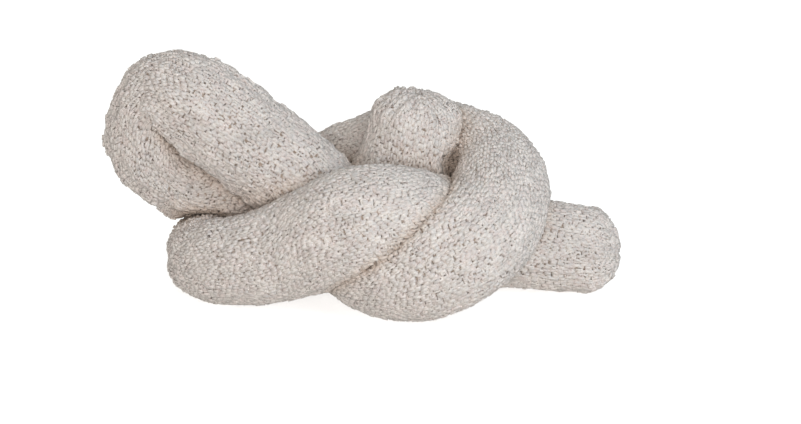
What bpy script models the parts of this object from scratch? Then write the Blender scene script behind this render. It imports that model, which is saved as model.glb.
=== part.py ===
"""Knot cushion: one long knitted tube, stuffed, closed at both ends and tied.

The tube is laid as a slipped overhand knot. Its right end lies on the floor, the tube runs left
across the front, curls round at the lower left, goes back along the far side, arches over at the
right and comes down to the front floor. From there it is pushed up through the ring as a folded
loop, which stands out at the upper left, and its other end stands up in the middle of the knot.

Where two stretches of the tube press on each other, both are flattened against the plane that
parts them, and where the tube lies on the floor it is flat.
"""

import bpy
import numpy as np

MM = 0.001

# The way of the tube's middle line, in millimetres from the centre of the footprint on the floor,
# with the radius that the stuffing gives the tube there.
ROUTE = (
    # place, x, y, z, radius
    ("right end on the floor", 273, -8, 40, 44),
    ("right end, full width", 223, -5, 43, 47),
    ("tail rising off the floor", 173, -6, 51, 48),
    ("tail under the right arch", 123, -4, 58, 49),
    ("front strand, out from the arch", 78, -42, 80, 50),
    ("front strand, highest", 46, -83, 97, 51),
    ("front strand, over the front foot", -5, -102, 102, 53),
    ("front strand, over the loop", -59, -83, 74, 50),
    ("front strand, down on the floor", -117, -62, 51, 48),
    ("curl, furthest left", -165, -25, 40, 43),
    ("curl, turned to the back", -152, 40, 46, 47),
    ("back strand, behind the loop", -111, 91, 60, 48),
    ("back strand, rising", -58, 119, 83, 48),
    ("back strand, in view", -1, 115, 111, 48),
    ("back strand, behind the standing end", 51, 88, 133, 49),
    ("right arch, top at the back", 101, 54, 136, 49),
    ("right arch, top", 134, 17, 130, 48),
    ("right arch, over the tail", 142, -26, 118, 49),
    ("right arch, coming down", 134, -66, 102, 51),
    ("right arch, furthest forward", 111, -106, 82, 51),
    ("front foot, turning left", 72, -117, 63, 51),
    ("front foot on the floor", 33, -99, 50, 49),
    ("front foot, going under", -4, -63, 57, 49),
    ("loop, under the front strand", -34, -23, 81, 49),
    ("loop, out at the top", -72, -3, 119, 50),
    ("loop, upper leg", -119, -8, 161, 50),
    ("loop, highest", -173, -21, 205, 50),
    ("loop, turning", -200, -8, 211, 47),
    ("loop, furthest left", -225, 9, 161, 47),
    ("loop, lower leg", -196, 32, 124, 49),
    ("loop, on top of the curl", -151, 39, 104, 49),
    ("lower leg, going in", -99, 55, 101, 47),
    ("lower leg, behind the upper leg", -51, 53, 83, 48),
    ("lower leg, lowest", -6, 25, 75, 48),
    ("standing end, turning up", 33, 13, 109, 49),
    ("standing end", 51, 12, 160, 48),
    ("standing end, top", 58, 8, 213, 45),
)

STATION_STEP = 4.0  # between the stations that the shape is worked out at
STATIONS_PER_RING = 3  # one station in three becomes a ring of points
SIDES = 28
CAP_DEPTHS = (34.0, 26.0)  # the first end and the last are rounded over these lengths
CAP_RINGS = 5
TOUCH_GAP = 2.0  # left between two stretches that press on each other
OWN_REACH = 45.0  # nearer than this along the tube, the same bend is meant
BEND_SHARE = 0.95  # the inner side of a bend reaches this far towards the bend's own axis
PRESS_SHARPNESS = 12.0  # how sharply a round side turns into a pressed one
MOST_BULGE = 1.08  # a pressed tube swells by this much at most
SWELL_LENGTH = 68.0  # over which a swelling eases off
SWELL_PASSES = 3
FINE_SAMPLES = 4000
LEAST_RADIUS = 0.5

WOOL_COLOUR = (0.60, 0.54, 0.49, 1.0)
WOOL_ROUGHNESS = 0.95


def clear_scene():
    for obj in list(bpy.data.objects):
        bpy.data.objects.remove(obj, do_unlink=True)


def spline_bends(stations, values):
    """Second derivatives of the natural cubic spline through values at stations."""
    spans = np.diff(stations)
    slopes = np.diff(values, axis=0) / spans[:, None]
    count = len(stations)
    matrix = np.eye(count)
    right = np.zeros_like(values)
    for i in range(1, count - 1):
        matrix[i, i - 1 : i + 2] = spans[i - 1], 2 * (spans[i - 1] + spans[i]), spans[i]
        right[i] = 6 * (slopes[i] - slopes[i - 1])
    return np.linalg.solve(matrix, right)


def spline_at(stations, values, bends, wanted):
    left = np.clip(np.searchsorted(stations, wanted) - 1, 0, len(stations) - 2)
    span = (stations[left + 1] - stations[left])[:, None]
    a = (stations[left + 1] - wanted)[:, None] / span
    b = 1 - a
    straight = a * values[left] + b * values[left + 1]
    curved = (a**3 - a) * bends[left] + (b**3 - b) * bends[left + 1]
    return straight + curved * span**2 / 6


def middle_line():
    """Even stations along the tube: their distances, centres and radii."""
    table = np.array([row[1:] for row in ROUTE], float)
    chords = np.linalg.norm(np.diff(table[:, :3], axis=0), axis=1)
    stations = np.concatenate([[0.0], np.cumsum(chords)])
    bends = spline_bends(stations, table)
    fine = spline_at(stations, table, bends, np.linspace(0, stations[-1], FINE_SAMPLES))
    run = np.linalg.norm(np.diff(fine[:, :3], axis=0), axis=1)
    run = np.concatenate([[0.0], np.cumsum(run)])
    even = np.linspace(0, run[-1], round(run[-1] / STATION_STEP) + 1)
    line = np.stack([np.interp(even, run, fine[:, k]) for k in range(4)], axis=1)
    return even, line[:, :3], line[:, 3]


def across_axes(centres):
    """Two axes square to the tube at each station, carried along it without twisting."""
    along = np.gradient(centres, axis=0)
    along /= np.linalg.norm(along, axis=1)[:, None]
    first = np.zeros_like(centres)
    start = np.cross(along[0], (0.0, 0.0, 1.0))
    first[0] = start / np.linalg.norm(start)
    for i in range(len(centres) - 1):
        carried = first[i] - along[i + 1] * (first[i] @ along[i + 1])
        first[i + 1] = carried / np.linalg.norm(carried)
    return first, np.cross(along, first)


def rounded_ends(distances):
    """The share of the full radius that each station has, falling to nothing at both tips."""
    to_tips = distances / CAP_DEPTHS[0], (distances[-1] - distances) / CAP_DEPTHS[1]
    inside = np.clip(1 - np.minimum(*to_tips), 0, 1)
    return np.sqrt(1 - inside**2)


def bending(distances, centres):
    """Arrows towards the axis that each station bends round, one over the way to it long."""
    along = np.gradient(centres, distances, axis=0)
    along /= np.linalg.norm(along, axis=1)[:, None]
    return np.gradient(along, distances, axis=0)


def pressing(i, distances, centres, radii, directions):
    """One over the reach that other stretches leave at station i, in each direction."""
    others = np.abs(distances - distances[i]) > OWN_REACH
    away = centres[others] - centres[i]
    far = np.linalg.norm(away, axis=1)
    share = radii[i] / (radii[i] + radii[others])
    facing = directions @ (away / far[:, None]).T
    return np.maximum((facing / ((far - TOUCH_GAP) * share)).max(axis=1), 0)


def pressed_radii(distances, centres, radii, directions):
    """The radius at each station and direction, flattened where it presses on something."""
    press = np.array(
        [
            pressing(i, distances, centres, radii, directions[i])
            for i in range(len(centres))
        ]
    )
    bends = bending(distances, centres)
    own_press = (directions * bends[:, None, :]).sum(axis=2) / BEND_SHARE
    press = np.maximum(press, own_press)
    down = np.maximum(-directions[:, :, 2], 1e-9)
    floor_reach = centres[:, 2, None] / down
    full = np.maximum(radii * rounded_ends(distances), LEAST_RADIUS)

    def squeeze(size):
        sharp = PRESS_SHARPNESS
        return (size[:, None] ** -sharp + press**sharp) ** (-1 / sharp)

    half = round(SWELL_LENGTH / STATION_STEP / 2)
    kernel = np.ones(2 * half + 1) / (2 * half + 1)
    reach = squeeze(full)
    for _ in range(SWELL_PASSES):
        section = np.sqrt((np.minimum(reach, floor_reach) ** 2).mean(axis=1))
        swell = np.clip(full / section, 1, MOST_BULGE)
        swell = np.convolve(np.pad(swell, half, mode="edge"), kernel, mode="valid")
        reach = squeeze(full * swell)
    return np.minimum(reach, floor_reach)


def ring_stations(count):
    """The stations that become rings: close together at the rounded ends, even between them."""
    turns = np.linspace(0, np.pi / 2, CAP_RINGS + 1)[1:]
    first, last = (
        sorted({max(round(depth * (1 - np.cos(turn)) / STATION_STEP), 1) for turn in turns})
        for depth in CAP_DEPTHS
    )
    end = count - 1
    middle = range(first[-1] + STATIONS_PER_RING, end - last[-1], STATIONS_PER_RING)
    return [*first, *middle, *(end - station for station in reversed(last))]


def tube_points():
    """Rings of points on the tube's surface, and its two tips, in millimetres."""
    distances, centres, radii = middle_line()
    first, second = across_axes(centres)
    turn = np.arange(SIDES) * 2 * np.pi / SIDES
    directions = (
        np.cos(turn)[None, :, None] * first[:, None, :]
        + np.sin(turn)[None, :, None] * second[:, None, :]
    )
    reach = pressed_radii(distances, centres, radii, directions)
    surface = centres[:, None, :] + reach[:, :, None] * directions
    return surface[ring_stations(len(centres))], centres[0], centres[-1]


def tube_mesh():
    rings, start_tip, end_tip = tube_points()
    count = len(rings)
    points = np.concatenate([rings.reshape(-1, 3), [start_tip, end_tip]]) * MM
    start, end = count * SIDES, count * SIDES + 1
    faces = []
    for side in range(SIDES):
        after = (side + 1) % SIDES
        faces.append((start, after, side))
        last = (count - 1) * SIDES
        faces.append((end, last + side, last + after))
        for ring in range(count - 1):
            here, there = ring * SIDES, (ring + 1) * SIDES
            faces.append((here + side, here + after, there + after, there + side))
    mesh = bpy.data.meshes.new("knitted_tube")
    mesh.from_pydata(points.tolist(), [], faces)
    mesh.validate()
    mesh.shade_smooth()
    return mesh


def wool_material():
    material = bpy.data.materials.new("knitted_wool")
    material.use_nodes = True
    shader = material.node_tree.nodes["Principled BSDF"]
    shader.inputs["Base Color"].default_value = WOOL_COLOUR
    shader.inputs["Roughness"].default_value = WOOL_ROUGHNESS
    shader.inputs["Metallic"].default_value = 0.0
    return material


def knitted_tube():
    mesh = tube_mesh()
    mesh.materials.append(wool_material())
    tube = bpy.data.objects.new("knitted_tube", mesh)
    bpy.context.scene.collection.objects.link(tube)
    return tube


def main():
    clear_scene()
    knitted_tube()


main()
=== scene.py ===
"""The looks of a knot cushion: a stuffed tube, knitted in thick slubby wool and tied.

The closed form of the tube is worked out from its route as in the solids, at finer steps. A plain
stuffed core fills it, and the knitting lies on the core as modelled yarn: the rows run along the
tube and reach over and under their neighbours, with the purl side out. Towards the tips, where they
crowd together, every second row ends. Where two stretches of the tube press on each other nothing
can be seen, and the rows are left out.
"""

import math

import bpy
import numpy as np
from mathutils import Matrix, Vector


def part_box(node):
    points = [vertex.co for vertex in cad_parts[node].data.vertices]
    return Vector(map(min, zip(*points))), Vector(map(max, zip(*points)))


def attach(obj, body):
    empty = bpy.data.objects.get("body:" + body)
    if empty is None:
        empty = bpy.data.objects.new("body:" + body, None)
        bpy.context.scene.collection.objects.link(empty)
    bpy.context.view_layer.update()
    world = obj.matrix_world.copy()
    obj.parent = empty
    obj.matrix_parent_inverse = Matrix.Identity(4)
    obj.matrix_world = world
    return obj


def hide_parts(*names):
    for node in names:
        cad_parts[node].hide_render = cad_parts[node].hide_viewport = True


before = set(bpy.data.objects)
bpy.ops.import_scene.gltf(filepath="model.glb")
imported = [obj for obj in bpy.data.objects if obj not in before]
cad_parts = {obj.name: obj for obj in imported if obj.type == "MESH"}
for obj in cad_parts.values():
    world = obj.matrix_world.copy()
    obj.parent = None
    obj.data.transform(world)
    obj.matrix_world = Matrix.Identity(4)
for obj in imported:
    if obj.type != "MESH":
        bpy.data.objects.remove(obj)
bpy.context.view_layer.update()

bl_info = {
    "name": "Knot Cushion",
    "version": (1, 0, 0),
    "blender": (4, 5, 0),
    "location": "View3D > Sidebar > Cushion",
    "description": "A stuffed tube knitted in thick slubby wool, tied in a knot",
    "category": "Add Mesh",
}

SOLID = "knitted_tube"
MM = 0.001

# The way of the tube's middle line, in millimetres from the centre of the footprint on the floor,
# with the radius that the stuffing gives the tube there. The solids are made from the same rows.
# Most of these numbers come from a fit of the tube's outline and creases, rounded to whole
# millimetres. The rest, and the names, were chosen one by one.
ROUTE = (
    # place, x, y, z, radius
    ("right end on the floor", 273, -8, 40, 44),
    ("right end, full width", 223, -5, 43, 47),
    ("tail rising off the floor", 173, -6, 51, 48),
    ("tail under the right arch", 123, -4, 58, 49),
    ("front strand, out from the arch", 78, -42, 80, 50),
    ("front strand, highest", 46, -83, 97, 51),
    ("front strand, over the front foot", -5, -102, 102, 53),
    ("front strand, over the loop", -59, -83, 74, 50),
    ("front strand, down on the floor", -117, -62, 51, 48),
    ("curl, furthest left", -165, -25, 40, 43),
    ("curl, turned to the back", -152, 40, 46, 47),
    ("back strand, behind the loop", -111, 91, 60, 48),
    ("back strand, rising", -58, 119, 83, 48),
    ("back strand, in view", -1, 115, 111, 48),
    ("back strand, behind the standing end", 51, 88, 133, 49),
    ("right arch, top at the back", 101, 54, 136, 49),
    ("right arch, top", 134, 17, 130, 48),
    ("right arch, over the tail", 142, -26, 118, 49),
    ("right arch, coming down", 134, -66, 102, 51),
    ("right arch, furthest forward", 111, -106, 82, 51),
    ("front foot, turning left", 72, -117, 63, 51),
    ("front foot on the floor", 33, -99, 50, 49),
    ("front foot, going under", -4, -63, 57, 49),
    ("loop, under the front strand", -34, -23, 81, 49),
    ("loop, out at the top", -72, -3, 119, 50),
    ("loop, upper leg", -119, -8, 161, 50),
    ("loop, highest", -173, -21, 205, 50),
    ("loop, turning", -200, -8, 211, 47),
    ("loop, furthest left", -225, 9, 161, 47),
    ("loop, lower leg", -196, 32, 124, 49),
    ("loop, on top of the curl", -151, 39, 104, 49),
    ("lower leg, going in", -99, 55, 101, 47),
    ("lower leg, behind the upper leg", -51, 53, 83, 48),
    ("lower leg, lowest", -6, 25, 75, 48),
    ("standing end, turning up", 33, 13, 109, 49),
    ("standing end", 51, 12, 160, 48),
    ("standing end, top", 58, 8, 213, 45),
)

# The form of the tube, in millimetres, as in the solids.
STATION_STEP = 4.0
CAP_DEPTHS = (34.0, 26.0)  # the first end and the last are rounded over these lengths
TOUCH_GAP = 2.0  # between two stretches that press on each other
OWN_REACH = 45.0  # nearer than this along the tube, the same bend is meant
BEND_SHARE = 0.95  # the inner side of a bend reaches this far towards the bend's own axis
PRESS_SHARPNESS = 12.0  # how sharply a round side turns into a pressed one
MOST_BULGE = 1.08  # a pressed tube swells by this much at most
SWELL_LENGTH = 68.0
SWELL_PASSES = 3
SWELL_SIDES = 28
FINE_SAMPLES = 4000
LEAST_RADIUS = 0.5
LEAST_PRESS = 1e-6  # stands for no pressing at all
TINY = 1e-9  # keeps a length from being nothing, where something is divided by it

# The finer surface that the knitting follows.
SKIN_STEP = 3.0
SKIN_SIDES = 96  # directions in which the form is worked out
SKIN_POINTS = 192  # even points round each ring
CAP_STATIONS = 14
LUMP_REACH = (22.0, 8.0)  # lengths over which the stuffing and the knitting rise and fall
LUMP_HEIGHT = (0.6, 1.15)
LUMP_FIRMNESS = 0.2  # the share of the small lumps that the tube has where it isn't slack
LUMP_ROOM = 6.0  # nearer than this to the plane of pressing, lumps are lower
FLOOR_FADE = 12.0  # lower than this, the form moves less, and on the floor not at all
PUCKERS = 13  # folds round each tip, where the knitting is gathered
PUCKER_HEIGHT = 1.7
PUCKER_REACH = 30.0
PUCKER_START = 4.0  # nearer than this to the tip, the folds fade out again
PUCKER_STRAY = 1.8
PUCKER_DRAW = 50
FORM_TOLERANCE = 3.0  # between this form and the solid's box

# The core takes every so many of the skin's rings and of their points.
CORE_RING_STEP = 2
CORE_POINT_STEP = 4
INWARD_STATIONS = (3, -4)  # the way from each tip to one of these stations leads inwards

# A loop of the purl side: where its samples stand in the turn from one foot to the next, in degrees.
LOOP_TURNS = (27, 90, 153, 207, 270, 333)
YARN_SIDES = 4
CAP_CORNERS = ((0.0, 0.0), (0.2, 0.0), (0.2, 0.2), (0.0, 0.2))  # of a cut yarn, on the UV map
ROWS = 80
ROWS_PER_PIECE = 10
LOOP_HEIGHT = 0.98  # half of a loop's height, over the distance between two rows
LOOP_LEAN = 0.15  # how far its legs lean in under its head
DROP_AT = 0.62  # where rows come nearer to each other than this share, every second one ends
MOST_DROPS = 3  # times that every second row ends on the way to a tip
LEAST_CLOSENESS = 1e-3
TIP_RADIUS = 4.0  # the last rows are drawn together round a hole of this radius
USUAL_RUN = 2.5  # of yarn between two samples
USUAL_PITCH = 3.9  # between two rows
# The yarn is thicker where its samples or its rows stand further apart, within these shares.
RUN_SAMPLES = 4
RUN_SHARES = (0.5, 1.2)
RUN_POWER = 0.8
PITCH_SHARES = (0.8, 1.2)
PITCH_POWER = 0.5
THICKNESS_SHARES = (0.55, 1.55)
HIDDEN_GAP = 1.1  # nearer than this to the plane of pressing, a stitch is out of sight
CREASE_FILLING = 5.5  # the soft tube swells by this much into a crease
CREASE_REACH = 18.0
# How slack the tube is: there it fills its creases less, and its stitches stand out more.
SLACK = {
    "curl, furthest left": 0.7,
    "curl, turned to the back": 0.7,
    "loop, out at the top": 0.5,
    "loop, upper leg": 0.8,
    "loop, highest": 0.9,
    "loop, turning": 1.0,
    "loop, furthest left": 1.0,
    "loop, lower leg": 1.0,
    "loop, on top of the curl": 0.6,
    "lower leg, going in": 0.7,
}
SLACK_RELIEF = 0.25  # the share by which stitches stand out more where the tube is slackest
SLACK_THINNING = 0.07  # the share by which the yarn is thinner there
# Where the knitting bridges the inside of a bend: x, y, z, and how far round there.
BRIDGES = ((108, -40, 150, 42),)
BRIDGE_REACH = 20.0
BRIDGE_TAILS = 2.5  # the smoothing takes in this many reaches to either side
# Where the stuffing swells or dents the tube: x, y, z, how far round there, and by how much.
SWELLINGS = (
    (88, -14, 141, 13, -12.0),
    (82, -52, 142, 13, -4.0),
    (-200, 4, 80, 14, -3.5),
    (-115, -29, 98, 10, -3.0),
    (-16, -10, 142, 10, -3.0),
    (3, -137, 68, 9, -3.0),
    (39, -33, 188, 9, -1.6),
    (-201, -34, 161, 8, -2.0),
)
SIGHT_REACH = 9.0  # as far as this into a crease the stitches are still made
PAINTED_SHADE_REACH = 24.0  # nearer to a crease than this, where more of the light comes off other wool, the wool's colour is painted warmer and darker: painted shade
SEED = 11
ALONE = 0.01  # a grain this fine leaves neighbouring rows with nothing in common
# How the yarn strays: how far, over how many samples, and the number of its random draw.
STRAYS = {
    # along the tube, in millimetres
    "walk of a stitch": (0.85, 1.5, 20),
    "walk of some stitches": (2.0, 10.0, 27),
    # across the row, as a share of the distance between rows
    "turn of a stitch": (0.13, 1.5, 22),
    "turn of some stitches": (0.09, 10.0, 23),
    # outwards, in millimetres
    "lift": (0.36, 1.5, 25),
    # as shares of the loop's height, its relief and its slub
    "height": (0.15, 2.2, 21),
    "relief": (0.3, 2.2, 24),
    "long slub": (0.7, 3.8, 30),
    "short slub": (0.5, 1.2, 31),
    # light and dark
    "tone of a loop": (0.8, 4.5, 40),
    "tone of a length": (0.2, 45.0, 41),
}
# Bumps that reach over several samples and rows: how high, over how much, and the draw.
BUMP_HEIGHT = 0.45
BUMP_GRAIN = (0.55, 3.0)
BUMP_DRAW = 26

# The wool's patterns, in waves a metre, and the stretch of each pattern in which a colour comes in.
MARL_SCALE = 110.0
ROSE_STRETCH = (0.42, 0.62)
FLECK_SCALE = 190.0
GREY_STRETCH = (0.50, 0.68)
GREY_SHARE = 0.8
# Painted shade near the creases: how much of the warm colour comes in, and the stretch in which the
# inside colour comes in.
CREASE_SHADE_SHARE = 0.9
DEEPEST_SHADE_STRETCH = (0.70, 0.94)
TONE_STRETCH = (-2.0, 2.0)
TONE_SHARES = (0.84, 1.10)
FIBRE_SCALE = 900.0
FIBRE_BUMP = 0.0006
CORE_SCALE = 240.0
CORE_SHARES = (0.8, 1.2)

# The stage, in metres.
FLOOR_SIZE = 12.0
LAMP_SIZE = 1.2
LAMP_TARGET = (0.0, 0.0, 0.1)
FRONT_LAMP = (0.1, -2.7, 0.65)
SIDE_LAMP = (1.65, -1.65, 1.45)
CAMERA_PLACE = (-0.0035, -2.1964, 0.6950)
CAMERA_TARGET = (0.0367, -0.0769, 0.1049)
CAMERA_LENS = 95.9


class KnitSettings(bpy.types.PropertyGroup):
    stitch_length: bpy.props.FloatProperty(
        name="Stitch Length", description="Along the tube", default=0.0078, unit="LENGTH"
    )
    yarn_thickness: bpy.props.FloatProperty(
        name="Yarn Thickness", description="Mean width of the yarn", default=0.0035, unit="LENGTH"
    )
    relief: bpy.props.FloatProperty(
        name="Relief", description="How far a loop's head stands out from its legs", default=0.0029,
        unit="LENGTH",
    )
    sink: bpy.props.FloatProperty(
        name="Sink", description="Middle of the knitting, under the cushion's outer form",
        default=0.0032, unit="LENGTH",
    )
    core_sink: bpy.props.FloatProperty(
        name="Core Sink", description="The stuffed core, under the cushion's outer form",
        default=0.0044, unit="LENGTH",
    )
    slub: bpy.props.FloatProperty(
        name="Slub", description="How much thick and thin the yarn is", default=0.2, min=0, max=0.5
    )
    unevenness: bpy.props.FloatProperty(
        name="Unevenness", description="How far stitches stray from their places", default=1.0,
        min=0, max=2,
    )


class WoolSettings(bpy.types.PropertyGroup):
    cream: bpy.props.FloatVectorProperty(
        name="Cream", description="Main colour of the wool", subtype="COLOR", size=3,
        default=(0.835, 0.783, 0.745), min=0, max=1,
    )
    # Painted shade: the warmer, darker colour given to the wool near creases.
    crease_shade_colour: bpy.props.FloatVectorProperty(
        name="Warm", description="Colour of the wool deep in the creases", subtype="COLOR", size=3,
        default=(0.74, 0.62, 0.535), min=0, max=1,
    )
    rose: bpy.props.FloatVectorProperty(
        name="Rose Beige", description="Warm colour in the marl", subtype="COLOR", size=3,
        default=(0.81, 0.73, 0.70), min=0, max=1,
    )
    grey: bpy.props.FloatVectorProperty(
        name="Pale Grey", description="Cool colour in the marl", subtype="COLOR", size=3,
        default=(0.77, 0.732, 0.717), min=0, max=1,
    )
    # Painted shade: a dark colour for the core in the gaps between stitches and for the deepest creases,
    # where only shade falls.
    inside: bpy.props.FloatVectorProperty(
        name="Inside", description="Colour of the core between stitches, and of the deepest creases",
        subtype="COLOR", size=3, default=(0.48, 0.39, 0.325), min=0, max=1,
    )
    sheen: bpy.props.FloatProperty(
        name="Sheen", description="Light caught by the wool's loose fibres", default=0.25, min=0, max=1
    )


class StageSettings(bpy.types.PropertyGroup):
    floor: bpy.props.FloatVectorProperty(
        name="Floor", description="Colour of the floor", subtype="COLOR", size=3,
        default=(0.96, 0.96, 0.96), min=0, max=1,
    )
    floor_glow: bpy.props.FloatProperty(
        name="Floor Glow", description="The floor's own light, which keeps it white", default=0.65, min=0
    )
    room: bpy.props.FloatVectorProperty(
        name="Room Light", description="Light from all round", subtype="COLOR", size=3,
        default=(0.481, 0.474, 0.449), min=0, max=2,
    )
    front: bpy.props.FloatVectorProperty(
        name="Front Light", description="Colour of the large soft lamp by the camera",
        subtype="COLOR", size=3, default=(1.0, 0.965, 0.94), min=0, max=1,
    )
    front_power: bpy.props.FloatProperty(
        name="Front Power", description="Power of the large soft lamp by the camera", default=31.5,
        min=0, subtype="POWER",
    )
    side: bpy.props.FloatVectorProperty(
        name="Side Light", description="Colour of the weak soft lamp on the right",
        subtype="COLOR", size=3, default=(0.60, 0.82, 1.0), min=0, max=1,
    )
    side_power: bpy.props.FloatProperty(
        name="Side Power", description="Power of the weak soft lamp on the right", default=14.0,
        min=0, subtype="POWER",
    )


# ---- the form of the tube ----


def spline_bends(stations, values):
    """Second derivatives of the natural cubic spline through values at stations."""
    spans = np.diff(stations)
    slopes = np.diff(values, axis=0) / spans[:, None]
    count = len(stations)
    matrix = np.eye(count)
    right = np.zeros_like(values)
    for i in range(1, count - 1):
        matrix[i, i - 1 : i + 2] = spans[i - 1], 2 * (spans[i - 1] + spans[i]), spans[i]
        right[i] = 6 * (slopes[i] - slopes[i - 1])
    return np.linalg.solve(matrix, right)


def spline_at(stations, values, bends, wanted):
    left = np.clip(np.searchsorted(stations, wanted) - 1, 0, len(stations) - 2)
    span = (stations[left + 1] - stations[left])[:, None]
    a = (stations[left + 1] - wanted)[:, None] / span
    b = 1 - a
    straight = a * values[left] + b * values[left + 1]
    curved = (a**3 - a) * bends[left] + (b**3 - b) * bends[left + 1]
    return straight + curved * span**2 / 6


def fine_line():
    """Many points of the tube's middle line, each with its radius, and their distances along it."""
    table = np.array([row[1:] for row in ROUTE], float)
    chords = np.linalg.norm(np.diff(table[:, :3], axis=0), axis=1)
    stations = np.concatenate([[0.0], np.cumsum(chords)])
    bends = spline_bends(stations, table)
    fine = spline_at(stations, table, bends, np.linspace(0, stations[-1], FINE_SAMPLES))
    run = np.linalg.norm(np.diff(fine[:, :3], axis=0), axis=1)
    return fine, np.concatenate([[0.0], np.cumsum(run)])


def route_distances():
    """How far along the tube each row of the route lies."""
    table = np.array([row[1:4] for row in ROUTE], float)
    chords = np.concatenate([[0.0], np.cumsum(np.linalg.norm(np.diff(table, axis=0), axis=1))])
    return np.interp(chords, np.linspace(0, chords[-1], FINE_SAMPLES), fine_line()[1])


def line_at(distances):
    """The middle line's points and the tube's radii at distances along it."""
    fine, run = fine_line()
    line = np.stack([np.interp(distances, run, fine[:, k]) for k in range(4)], axis=1)
    return line[:, :3], line[:, 3]


def tube_length():
    return fine_line()[1][-1]


def across_axes(distances, centres):
    """Two axes square to the tube at each station, carried along it without twisting."""
    along = np.gradient(centres, distances, axis=0)
    along /= np.linalg.norm(along, axis=1)[:, None]
    first = np.zeros_like(centres)
    start = np.cross(along[0], (0.0, 0.0, 1.0))
    first[0] = start / np.linalg.norm(start)
    for i in range(len(centres) - 1):
        carried = first[i] - along[i + 1] * (first[i] @ along[i + 1])
        first[i + 1] = carried / np.linalg.norm(carried)
    return first, np.cross(along, first)


def directions_round(distances, centres, sides):
    first, second = across_axes(distances, centres)
    turn = np.arange(sides) * 2 * np.pi / sides
    return (
        np.cos(turn)[None, :, None] * first[:, None, :]
        + np.sin(turn)[None, :, None] * second[:, None, :]
    )


def rounded_ends(distances):
    """The share of the full radius that each station has, falling to nothing at both tips."""
    to_tips = distances / CAP_DEPTHS[0], (distances[-1] - distances) / CAP_DEPTHS[1]
    inside = np.clip(1 - np.minimum(*to_tips), 0, 1)
    return np.sqrt(1 - inside**2)


def bending(distances, centres):
    """Arrows towards the axis that each station bends round, one over the way to it long."""
    along = np.gradient(centres, distances, axis=0)
    along /= np.linalg.norm(along, axis=1)[:, None]
    return np.gradient(along, distances, axis=0)


def pressing(i, distances, centres, radii, directions):
    """One over the reach that other stretches leave at station i, in each direction."""
    others = np.abs(distances - distances[i]) > OWN_REACH
    away = centres[others] - centres[i]
    far = np.linalg.norm(away, axis=1)
    share = radii[i] / (radii[i] + radii[others])
    facing = directions @ (away / far[:, None]).T
    return np.maximum((facing / ((far - TOUCH_GAP) * share)).max(axis=1), 0)


def squeeze(size, press):
    """The reach of a round tube of a size, where pressing leaves it less."""
    sharp = PRESS_SHARPNESS
    return (size[:, None] ** -sharp + press**sharp) ** (-1 / sharp)


def limits_round(distances, centres, radii, sides):
    """In each direction at each station: the direction, one over the room, and the floor's room."""
    directions = directions_round(distances, centres, sides)
    press = np.array(
        [
            pressing(i, distances, centres, radii, directions[i])
            for i in range(len(centres))
        ]
    )
    bends = bending(distances, centres)
    own_press = (directions * bends[:, None, :]).sum(axis=2) / BEND_SHARE
    press = np.maximum(press, own_press)
    floor_reach = centres[:, 2, None] / np.maximum(-directions[:, :, 2], TINY)
    return directions, press, floor_reach


def swelling():
    """How much the tube swells beside its pressed places, at even stations."""
    length = tube_length()
    distances = np.linspace(0, length, round(length / STATION_STEP) + 1)
    centres, radii = line_at(distances)
    _, press, floor_reach = limits_round(distances, centres, radii, SWELL_SIDES)
    full = np.maximum(radii * rounded_ends(distances), LEAST_RADIUS)
    half = round(SWELL_LENGTH / STATION_STEP / 2)
    kernel = np.ones(2 * half + 1) / (2 * half + 1)
    reach = squeeze(full, press)
    for _ in range(SWELL_PASSES):
        section = np.sqrt((np.minimum(reach, floor_reach) ** 2).mean(axis=1))
        swell = np.clip(full / section, 1, MOST_BULGE)
        swell = np.convolve(np.pad(swell, half, mode="edge"), kernel, mode="valid")
        reach = squeeze(full * swell, press)
    return distances, swell


def soft_noise(shape, grain, seed):
    """Even random hills of height about 1, as wide as grain says, in cells of each axis."""
    rough = np.random.default_rng(seed).standard_normal(shape)
    waves = np.fft.fft2(rough)
    for axis, width in enumerate(grain):
        pace = np.fft.fftfreq(shape[axis]) * 2 * np.pi * width
        fade = np.exp(-(pace**2) / 2)
        waves *= fade[:, None] if axis == 0 else fade[None, :]
    hills = np.fft.ifft2(waves).real
    return (hills - hills.mean()) / hills.std()


def soften(values, reach):
    """The values of each row, averaged over reach samples to either side."""
    kernel = np.ones(2 * reach + 1) / (2 * reach + 1)
    padded = np.pad(values, ((0, 0), (reach, reach)), mode="edge")
    return np.array([np.convolve(row, kernel, mode="valid") for row in padded])


def evenly_round(ring, values, count):
    """The ring's points, and their values, moved to even distances round it, and its girth."""
    closed = np.vstack([ring, ring[:1]])
    walk = np.concatenate([[0.0], np.cumsum(np.linalg.norm(np.diff(closed, axis=0), axis=1))])
    wanted = np.arange(count) / count * walk[-1]
    moved = np.stack([np.interp(wanted, walk, closed[:, k]) for k in range(3)], axis=1)
    return moved, np.interp(wanted, walk, np.append(values, values[0])), walk[-1]


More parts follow.
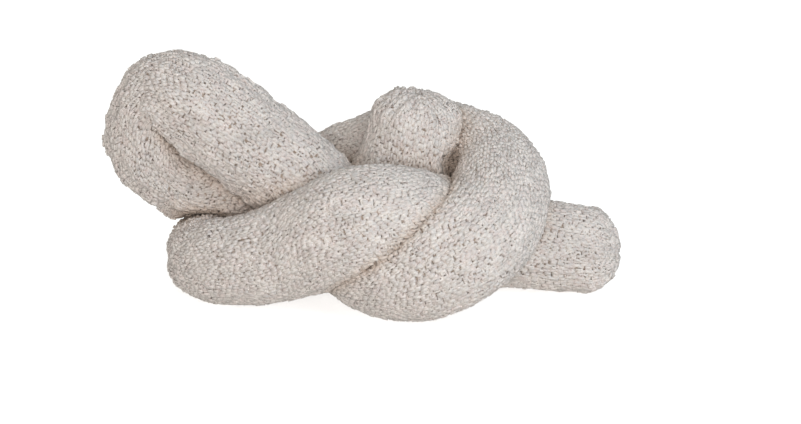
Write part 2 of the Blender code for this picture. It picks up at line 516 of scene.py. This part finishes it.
class Skin:
    """The cushion's outer form: rings of even points, with what the knitting needs at each."""

    def __init__(self):
        length = tube_length()
        turns = np.linspace(0, np.pi / 2, CAP_STATIONS + 1)[:-1]
        first, last = (depth * (1 - np.cos(turns)) for depth in CAP_DEPTHS)
        straight = length - sum(CAP_DEPTHS)
        middle = CAP_DEPTHS[0] + np.linspace(0, straight, round(straight / SKIN_STEP) + 1)
        self.distances = np.concatenate([first, middle, length - last[::-1]])
        self.centres, radii = line_at(self.distances)
        swell = np.interp(self.distances, *swelling())
        full = np.maximum(radii * rounded_ends(self.distances), LEAST_RADIUS) * swell
        directions, press, floor_reach = limits_round(
            self.distances, self.centres, radii, SKIN_SIDES
        )
        reach = np.minimum(squeeze(full, press), floor_reach)
        room = 1 / np.maximum(press, LEAST_PRESS) - reach
        surface = self.centres[:, None, :] + reach[:, :, None] * directions
        rings = [evenly_round(surface[i], room[i], SKIN_POINTS) for i in range(len(surface))]
        self.points = np.array([ring[0] for ring in rings])
        self.room = np.array([ring[1] for ring in rings])
        self.girth = np.array([ring[2] for ring in rings])
        slack = [SLACK.get(row[0], 0.0) for row in ROUTE]
        self.slack = np.interp(self.distances, route_distances(), slack)
        self.bridge_bends()
        self.outward = self.facing()
        self.raise_lumps()
        self.pucker_ends()
        steps = np.linalg.norm(np.diff(self.points, axis=0), axis=2)
        self.walk = np.vstack([np.zeros(SKIN_POINTS), np.cumsum(steps, axis=0)])

    def bridge_bends(self):
        """Smooths the form along the tube where it would otherwise fold into a bend."""
        reach = round(BRIDGE_TAILS * BRIDGE_REACH / SKIN_STEP)
        steps = np.arange(-reach, reach + 1) * SKIN_STEP / BRIDGE_REACH
        shares = np.exp(-(steps**2) / 2)
        shares /= shares.sum()
        count = len(self.points)
        padded = np.pad(self.points, ((reach, reach), (0, 0), (0, 0)), mode="edge")
        smooth = sum(w * padded[i : i + count] for i, w in enumerate(shares))
        for x, y, z, size in BRIDGES:
            away = np.linalg.norm(self.points - (x, y, z), axis=2)
            share = np.exp(-((away / size) ** 2))[:, :, None]
            self.points = self.points + share * (smooth - self.points)

    def facing(self):
        along = np.gradient(self.points, axis=0)
        round_it = np.roll(self.points, -1, axis=1) - np.roll(self.points, 1, axis=1)
        facing = np.cross(along, round_it)
        facing /= np.maximum(np.linalg.norm(facing, axis=2), TINY)[:, :, None]
        away = self.points - self.centres[:, None, :]
        return facing * np.sign((facing * away).sum(axis=2))[:, :, None]

    def raise_lumps(self):
        """Lifts and lowers the form as uneven stuffing does, and fills the creases."""
        shape = self.room.shape
        cell = (SKIN_STEP, self.girth.max() / SKIN_POINTS)
        lumps = np.zeros(shape)
        # The wide lumps are the same all along the tube, and the small ones grow with its slack.
        shares = (1.0, LUMP_FIRMNESS + self.slack[:, None])
        kinds = zip(LUMP_REACH, LUMP_HEIGHT, shares, strict=True)
        for number, (reach, height, share) in enumerate(kinds):
            grain = [reach / size / 2 for size in cell]
            lumps += height * share * soft_noise(shape, grain, SEED + number)
        free = np.clip(self.room / LUMP_ROOM, 0, 1)
        filling = CREASE_FILLING * np.clip(1 - self.room / CREASE_REACH, 0, 1) ** 2
        swelling_up = lumps * free + filling * (1 - self.slack[:, None])
        for x, y, z, reach, height in SWELLINGS:
            away = np.linalg.norm(self.points - (x, y, z), axis=2)
            swelling_up += height * np.exp(-((away / reach) ** 2))
        self.raise_skin(swelling_up)

    def pucker_ends(self):
        """Draws the knitting in towards each tip, in uneven folds."""
        turn = np.arange(SKIN_POINTS) / SKIN_POINTS * 2 * np.pi
        for number, to_tip in enumerate((self.distances, self.distances[-1] - self.distances)):
            grain = (ALONE, SKIN_POINTS / PUCKERS)
            draw = SEED + PUCKER_DRAW + number
            stray = PUCKER_STRAY * soft_noise((1, SKIN_POINTS), grain, draw)
            folds = np.sin(PUCKERS * turn + stray)
            fade = np.exp(-((to_tip / PUCKER_REACH) ** 2)) * np.clip(to_tip / PUCKER_START, 0, 1)
            self.raise_skin(PUCKER_HEIGHT * fade[:, None] * folds)

    def raise_skin(self, height):
        """Moves the form outwards by a height at each point, but not where it lies on the floor."""
        off_floor = np.clip(self.points[:, :, 2] / FLOOR_FADE, 0, 1)
        self.points += self.outward * (height * off_floor)[:, :, None]

    def at(self, field, station, turn):
        """A field of the skin at stations and shares of a turn that lie between its points."""
        low = np.clip(np.floor(station).astype(int), 0, len(self.distances) - 2)
        part = station - low
        cell = (turn % 1) * SKIN_POINTS
        left = np.floor(cell).astype(int) % SKIN_POINTS
        right = (left + 1) % SKIN_POINTS
        share = cell - np.floor(cell)
        if field.ndim == 3:
            part, share = part[..., None], share[..., None]
        near = field[low, left] * (1 - share) + field[low, right] * share
        far = field[low + 1, left] * (1 - share) + field[low + 1, right] * share
        return near * (1 - part) + far * part

    def in_sight(self):
        """Where the skin can be seen: away from the planes of pressing, and a little into them."""
        seen = self.room > HIDDEN_GAP
        grown = seen.copy()
        for _ in range(round(SIGHT_REACH / SKIN_STEP)):
            grown |= np.roll(grown, 1, axis=0) | np.roll(grown, -1, axis=0)
        for _ in range(round(SIGHT_REACH / (self.girth.max() / SKIN_POINTS))):
            grown |= np.roll(grown, 1, axis=1) | np.roll(grown, -1, axis=1)
        return grown


# ---- meshes ----


def unit(vectors):
    return vectors / np.maximum(np.linalg.norm(vectors, axis=-1, keepdims=True), TINY)


def new_piece(name, points, faces, material):
    mesh = bpy.data.meshes.new(name)
    mesh.from_pydata(points * MM, [], faces)
    mesh.shade_smooth()
    mesh.materials.append(material)
    piece = bpy.data.objects.new(name, mesh)
    bpy.context.scene.collection.objects.link(piece)
    return piece


def core_piece(skin, sink, material):
    """The stuffed core: the skin's form, drawn in by the thickness of the knitting."""
    inner = skin.points - skin.outward * sink
    inner[:, :, 2] = np.maximum(inner[:, :, 2], 0)
    rings = inner[1:-1:CORE_RING_STEP, ::CORE_POINT_STEP]
    count, sides = rings.shape[:2]
    tips = skin.centres[[0, -1]]
    tips = tips + unit(skin.centres[list(INWARD_STATIONS)] - tips) * sink
    points = np.concatenate([rings.reshape(-1, 3), tips])
    start, end = count * sides, count * sides + 1
    faces = []
    for side in range(sides):
        after = (side + 1) % sides
        last = (count - 1) * sides
        faces.append((start, after, side))
        faces.append((end, last + side, last + after))
        for ring in range(count - 1):
            here, there = ring * sides, (ring + 1) * sides
            faces.append((here + side, here + after, there + after, there + side))
    return new_piece("stuffed_core", points, faces, material)


def drops_outlived(row):
    """How many times every second row can end before this one does."""
    if row == 0:
        return MOST_DROPS
    times_even = (row & -row).bit_length() - 1
    return min(times_even, MOST_DROPS)


class Knitting:
    """The yarn of all rows: a grid of samples, one line for each row."""

    def __init__(self, skin, knit):
        self.skin = skin
        pitch = knit.stitch_length / MM
        stitches = math.ceil(skin.walk[-1].max() / pitch)
        turns = np.radians(LOOP_TURNS)
        phase = (np.arange(stitches)[:, None] * 2 * np.pi + turns).ravel()
        self.shape = (ROWS, len(phase))
        self.row = np.arange(ROWS)[:, None]
        self.place_yarn(phase, pitch, knit)
        self.swell_yarn(knit)
        self.keep = self.kept()

    def stray(self, kind, share=1.0):
        """Random hills along each row, of one of the kinds in STRAYS."""
        size, grain, draw = STRAYS[kind]
        return share * size * soft_noise(self.shape, (ALONE, grain), SEED + draw)

    def place_yarn(self, phase, pitch, knit):
        skin, loose = self.skin, knit.unevenness
        walk = (phase / (2 * np.pi) + LOOP_LEAN * np.sin(2 * phase)) * pitch
        walk = walk[None, :] + self.stray("walk of a stitch", loose)
        walk = walk + self.stray("walk of some stitches", loose)
        stations = np.arange(len(skin.walk))
        cells = np.round((self.row[:, 0] + 0.5) / ROWS * SKIN_POINTS).astype(int) % SKIN_POINTS
        lines = skin.walk[:, cells].T
        pairs = zip(walk, lines, strict=True)
        self.station = np.array([np.interp(steps, line, stations) for steps, line in pairs])
        self.ended = (walk < 0) | (walk > lines[:, -1:])
        girth = np.interp(self.station, stations, skin.girth)
        close = girth / ROWS / (skin.girth.max() / ROWS)
        outlived = np.array([drops_outlived(row) for row in range(ROWS)])
        drops = np.ceil(np.log2(DROP_AT / np.maximum(close, LEAST_CLOSENESS)))
        dropped = np.clip(drops, 0, MOST_DROPS)
        self.alive = outlived[:, None] >= dropped
        spread = 2.0**dropped
        height = -LOOP_HEIGHT * np.cos(phase)[None, :] * spread
        height = height * (1 + self.stray("height", loose))
        wander = self.stray("turn of a stitch", loose) + self.stray("turn of some stitches", loose)
        self.turn = (self.row + 0.5 + height + wander) / ROWS
        self.pitch = girth / ROWS * spread
        relief = knit.relief / MM * np.cos(2 * phase)[None, :]
        relief = relief * (1 + SLACK_RELIEF * np.interp(self.station, stations, skin.slack))
        relief = relief * (1 + self.stray("relief", loose))
        bumps = BUMP_HEIGHT * loose * soft_noise(self.shape, BUMP_GRAIN, SEED + BUMP_DRAW)
        lift = relief - knit.sink / MM + self.stray("lift", loose) + bumps
        room = skin.at(skin.room, self.station, self.turn)
        # Painted shade: nearness to a crease, which makes the wool's colour warmer and darker.
        self.crease_shade = np.clip(1 - room / PAINTED_SHADE_REACH, 0, 1) ** 2
        self.outward = unit(skin.at(skin.outward, self.station, self.turn))
        self.points = skin.at(skin.points, self.station, self.turn) + self.outward * lift[..., None]

    def swell_yarn(self, knit):
        thick = 1 + self.stray("long slub", knit.slub) + self.stray("short slub", knit.slub)
        self.radius = knit.yarn_thickness / MM / 2 * np.clip(thick, *THICKNESS_SHARES)
        run = np.linalg.norm(np.gradient(self.points, axis=1), axis=2)
        longer = np.clip(soften(run, RUN_SAMPLES) / USUAL_RUN, *RUN_SHARES)
        wider = np.clip(self.pitch / USUAL_PITCH, *PITCH_SHARES)
        slack = np.interp(self.station, np.arange(len(self.skin.slack)), self.skin.slack)
        self.radius = self.radius * longer**RUN_POWER * wider**PITCH_POWER
        self.radius = self.radius * (1 - SLACK_THINNING * slack)

    def kept(self):
        """Which samples of the yarn are made: those in sight, off the tips and on rows that go on."""
        skin = self.skin
        seen = skin.at(skin.in_sight().astype(float), self.station, self.turn) > 0.5
        girth = np.interp(self.station, np.arange(len(skin.walk)), skin.girth)
        return seen & self.alive & ~self.ended & (girth > 2 * np.pi * TIP_RADIUS)

    def rings(self):
        """The points round the yarn at each sample."""
        along = unit(np.gradient(self.points, axis=1))
        side = unit(np.cross(along, self.outward))
        up = np.cross(side, along)
        corners = []
        for corner in range(YARN_SIDES):
            angle = 2 * np.pi * corner / YARN_SIDES
            reach = math.cos(angle) * up + math.sin(angle) * side
            corners.append(self.points + reach * self.radius[..., None])
        rings = np.stack(corners, axis=2)
        rings[..., 2] = np.maximum(rings[..., 2], 0)
        return rings

    def piece(self, name, first_row, rings, tone, material):
        """One band of rows as a mesh: closed yarn wherever the knitting is in sight."""
        rows = slice(first_row, first_row + ROWS_PER_PIECE)
        keep = self.keep[rows]
        joined = keep[:, :-1] & keep[:, 1:]
        used = np.zeros(keep.shape, bool)
        used[:, :-1] |= joined
        used[:, 1:] |= joined
        number = np.cumsum(used.ravel()).reshape(used.shape) - 1
        row, sample = np.nonzero(joined)
        here, there = number[row, sample] * YARN_SIDES, number[row, sample + 1] * YARN_SIDES
        faces, places = [], []
        total = self.shape[1]
        for side in range(YARN_SIDES):
            after = (side + 1) % YARN_SIDES
            faces += np.stack([here + side, there + side, there + after, here + after], axis=1).tolist()
            low = (row + side / YARN_SIDES) / ROWS_PER_PIECE
            high = (row + (side + 1) / YARN_SIDES) / ROWS_PER_PIECE
            left, right = sample / total, (sample + 1) / total
            places.append(np.stack([left, low, right, low, right, high, left, high], axis=1).ravel())
        starts, ends = joined.copy(), joined.copy()
        starts[:, 1:] &= ~joined[:, :-1]
        ends[:, :-1] &= ~joined[:, 1:]
        for last, step, order in ((starts, 0, 1), (ends, 1, -1)):
            row, sample = np.nonzero(last)
            ring = number[row, sample + step] * YARN_SIDES
            faces += np.stack([ring + corner for corner in range(YARN_SIDES)[::order]], axis=1).tolist()
            middle = np.stack([sample + 0.5, row + 0.5], axis=1)
            corners = [(middle + shift) / (total, ROWS_PER_PIECE) for shift in CAP_CORNERS]
            places.append(np.concatenate(corners, axis=1).ravel())
        piece = new_piece(name, rings[rows][used].reshape(-1, 3), faces, material)
        layer = piece.data.uv_layers.new(name="OFBake")
        layer.data.foreach_set("uv", np.concatenate(places).astype(np.float32))
        # The shade attribute is random tone; the second attribute carries the painted shade near
        # creases.
        for title, values in (("shade", tone), ("crease_shade", self.crease_shade)):
            values = np.repeat(values[rows][used], YARN_SIDES).astype(np.float32)
            piece.data.attributes.new(title, "FLOAT", "POINT").data.foreach_set("value", values)
        return piece


# ---- materials ----


def new_material(name):
    material = bpy.data.materials.new(name)
    material.use_nodes = True
    return material, material.node_tree.nodes, material.node_tree.links


def colour_mix(nodes, links, factor, first, second, blend="MIX"):
    """A node that mixes two colours. Each is a colour or another node's socket."""
    mix = nodes.new("ShaderNodeMix")
    mix.data_type = "RGBA"
    mix.blend_type = blend
    for socket, value in (("Factor", factor), ("A", first), ("B", second)):
        wanted = "VALUE" if socket == "Factor" else "RGBA"
        target = next(s for s in mix.inputs if s.name == socket and s.type == wanted)
        if isinstance(value, bpy.types.NodeSocket):
            links.new(value, target)
        else:
            target.default_value = value
    return next(s for s in mix.outputs if s.type == "RGBA")


def noise(nodes, links, vector, scale, detail=2.0):
    texture = nodes.new("ShaderNodeTexNoise")
    texture.inputs["Scale"].default_value = scale
    texture.inputs["Detail"].default_value = detail
    links.new(vector, texture.inputs["Vector"])
    return texture.outputs["Fac"]


def in_range(nodes, links, value, low, high, to_low=0.0, to_high=1.0):
    ramp = nodes.new("ShaderNodeMapRange")
    links.new(value, ramp.inputs["Value"])
    for name, number in (("From Min", low), ("From Max", high), ("To Min", to_low), ("To Max", to_high)):
        ramp.inputs[name].default_value = number
    return ramp.outputs["Result"]


def yarn_material(wool):
    material, nodes, links = new_material("slub_wool")
    shader = nodes["Principled BSDF"]
    place = nodes.new("ShaderNodeTexCoord").outputs["Object"]
    shade, crease_shade = (nodes.new("ShaderNodeAttribute") for _ in range(2))
    shade.attribute_name = "shade"
    crease_shade.attribute_name = "crease_shade"
    patches = noise(nodes, links, place, MARL_SCALE, 3.0)
    rosy = in_range(nodes, links, patches, *ROSE_STRETCH)
    colour = colour_mix(nodes, links, rosy, (*wool.cream, 1), (*wool.rose, 1))
    flecks = noise(nodes, links, place, FLECK_SCALE)
    greyish = in_range(nodes, links, flecks, *GREY_STRETCH, 0.0, GREY_SHARE)
    colour = colour_mix(nodes, links, greyish, colour, (*wool.grey, 1))
    # Painted shade: near creases the wool is painted warmer, and deepest in them as dark as the core.
    deep = in_range(nodes, links, crease_shade.outputs["Fac"], 0.0, 1.0, 0.0, CREASE_SHADE_SHARE)
    colour = colour_mix(nodes, links, deep, colour, (*wool.crease_shade_colour, 1))
    deepest = in_range(nodes, links, crease_shade.outputs["Fac"], *DEEPEST_SHADE_STRETCH)
    colour = colour_mix(nodes, links, deepest, colour, (*wool.inside, 1))
    tone = in_range(nodes, links, shade.outputs["Fac"], *TONE_STRETCH, *TONE_SHARES)
    grey_tone = nodes.new("ShaderNodeCombineColor")
    for socket in ("Red", "Green", "Blue"):
        links.new(tone, grey_tone.inputs[socket])
    colour = colour_mix(nodes, links, 1.0, colour, grey_tone.outputs["Color"], "MULTIPLY")
    links.new(colour, shader.inputs["Base Color"])
    shader.inputs["Roughness"].default_value = 0.95
    shader.inputs["Specular IOR Level"].default_value = 0.15
    shader.inputs["Sheen Weight"].default_value = wool.sheen
    shader.inputs["Sheen Roughness"].default_value = 0.6
    shader.inputs["Sheen Tint"].default_value = (*wool.cream, 1)
    fibres = noise(nodes, links, place, FIBRE_SCALE)
    bump = nodes.new("ShaderNodeBump")
    bump.inputs["Strength"].default_value = 0.5
    bump.inputs["Distance"].default_value = FIBRE_BUMP
    links.new(fibres, bump.inputs["Height"])
    links.new(bump.outputs["Normal"], shader.inputs["Normal"])
    return material


def core_shade_material(wool):
    material, nodes, links = new_material("painted_gap_shade")
    shader = nodes["Principled BSDF"]
    place = nodes.new("ShaderNodeTexCoord").outputs["Object"]
    patches = noise(nodes, links, place, CORE_SCALE, 3.0)
    # Painted shade: the core is darker than the wool, for the shade in the gaps between stitches.
    dark, light = (tuple(min(share * c, 1) for c in wool.inside) for share in CORE_SHARES)
    colour = colour_mix(nodes, links, patches, (*dark, 1), (*light, 1))
    links.new(colour, shader.inputs["Base Color"])
    shader.inputs["Roughness"].default_value = 1.0
    shader.inputs["Specular IOR Level"].default_value = 0.1
    return material


def floor_material(stage):
    material, nodes, _ = new_material("pale_floor")
    shader = nodes["Principled BSDF"]
    shader.inputs["Base Color"].default_value = (*stage.floor, 1)
    shader.inputs["Emission Color"].default_value = (*stage.floor, 1)
    shader.inputs["Emission Strength"].default_value = stage.floor_glow
    shader.inputs["Roughness"].default_value = 0.9
    shader.inputs["Specular IOR Level"].default_value = 0.0
    return material


# ---- operators ----


def check_form(skin):
    low, high = (np.array(corner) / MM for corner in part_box(SOLID))
    off = max(
        np.abs(skin.points.min(axis=(0, 1)) - low).max(),
        np.abs(skin.points.max(axis=(0, 1)) - high).max(),
    )
    if off > FORM_TOLERANCE:
        raise RuntimeError(f"the form departs from the solid {SOLID} by {off:.1f} mm")


class CUSHION_OT_stuffed_core(bpy.types.Operator):
    """Fills the tube: the closed, stuffed form that shows in the gaps between stitches"""

    bl_idname = "cushion.stuffed_core"
    bl_label = "Stuffed Core"

    def execute(self, context):
        knit, wool = context.scene.cushion_knit, context.scene.cushion_wool
        skin = Skin()
        check_form(skin)
        core = core_piece(skin, knit.core_sink / MM, core_shade_material(wool))
        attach(core, "root")
        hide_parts(SOLID)
        return {"FINISHED"}


class CUSHION_OT_knitted_rows(bpy.types.Operator):
    """Knits the tube: rows of looped yarn that run along it, with the purl side out"""

    bl_idname = "cushion.knitted_rows"
    bl_label = "Knitted Rows"

    def execute(self, context):
        knit, wool = context.scene.cushion_knit, context.scene.cushion_wool
        knitting = Knitting(Skin(), knit)
        rings = knitting.rings()
        tone = knitting.stray("tone of a loop") + knitting.stray("tone of a length")
        material = yarn_material(wool)
        for first_row in range(0, ROWS, ROWS_PER_PIECE):
            name = f"knitted_rows_{first_row // ROWS_PER_PIECE + 1}"
            piece = knitting.piece(name, first_row, rings, tone, material)
            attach(piece, "root")
            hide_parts(SOLID)
        return {"FINISHED"}


class CUSHION_OT_stage(bpy.types.Operator):
    """Sets the pale floor, the soft light and the camera"""

    bl_idname = "cushion.stage"
    bl_label = "Stage"

    def execute(self, context):
        stage = context.scene.cushion_stage
        bpy.ops.object.select_all(action="DESELECT")
        bpy.ops.mesh.primitive_plane_add(size=FLOOR_SIZE, location=(0, 0, 0))
        floor = context.object
        floor.name = "floor"
        floor.data.materials.append(floor_material(stage))
        bpy.ops.object.transform_apply()
        # The glowing floor takes the cushion's shadow but throws no light on it from below.
        floor.visible_diffuse = False
        floor.visible_shadow = False
        world = bpy.data.worlds.new("white_room")
        world.use_nodes = True
        background = world.node_tree.nodes["Background"]
        background.inputs["Color"].default_value = (*stage.room, 1)
        context.scene.world = world
        soft_lamp("front_lamp", FRONT_LAMP, stage.front_power, stage.front)
        soft_lamp("side_lamp", SIDE_LAMP, stage.side_power, stage.side)
        add_camera()
        context.scene.view_settings.view_transform = "Standard"
        return {"FINISHED"}


def aim(thing, place, target):
    """Puts a lamp or the camera at a place, looking at a target."""
    thing.location = place
    thing.rotation_euler = (Vector(target) - Vector(place)).to_track_quat("-Z", "Y").to_euler()


def soft_lamp(name, place, power, colour):
    bpy.ops.object.light_add(type="AREA", location=place)
    lamp = bpy.context.object
    lamp.name = name
    lamp.data.shape = "DISK"
    lamp.data.size = LAMP_SIZE
    lamp.data.energy = power
    lamp.data.color = colour
    aim(lamp, place, LAMP_TARGET)


def add_camera():
    bpy.ops.object.camera_add()
    camera = bpy.context.object
    camera.name = "photo_camera"
    camera.data.lens = CAMERA_LENS
    aim(camera, CAMERA_PLACE, CAMERA_TARGET)
    bpy.context.scene.camera = camera


class CUSHION_PT_panel(bpy.types.Panel):
    """Lists the steps that make the cushion, with their settings"""

    bl_label = "Knot Cushion"
    bl_idname = "CUSHION_PT_panel"
    bl_space_type = "VIEW_3D"
    bl_region_type = "UI"
    bl_category = "Cushion"

    def draw(self, context):
        layout = self.layout
        for operator, settings in STEPS:
            layout.operator(operator)
            group = getattr(context.scene, settings)
            for name in group.__annotations__:
                layout.prop(group, name)


STEPS = (
    ("cushion.stuffed_core", "cushion_wool"),
    ("cushion.knitted_rows", "cushion_knit"),
    ("cushion.stage", "cushion_stage"),
)
CLASSES = (
    KnitSettings,
    WoolSettings,
    StageSettings,
    CUSHION_OT_stuffed_core,
    CUSHION_OT_knitted_rows,
    CUSHION_OT_stage,
    CUSHION_PT_panel,
)


def register():
    for item in CLASSES:
        bpy.utils.register_class(item)
    bpy.types.Scene.cushion_knit = bpy.props.PointerProperty(type=KnitSettings)
    bpy.types.Scene.cushion_wool = bpy.props.PointerProperty(type=WoolSettings)
    bpy.types.Scene.cushion_stage = bpy.props.PointerProperty(type=StageSettings)


def unregister():
    del bpy.types.Scene.cushion_stage
    del bpy.types.Scene.cushion_wool
    del bpy.types.Scene.cushion_knit
    for item in reversed(CLASSES):
        bpy.utils.unregister_class(item)


def main():
    register()
    bpy.ops.cushion.stuffed_core()
    bpy.ops.cushion.knitted_rows()
    bpy.ops.cushion.stage()


if __name__ == "__main__":
    main()
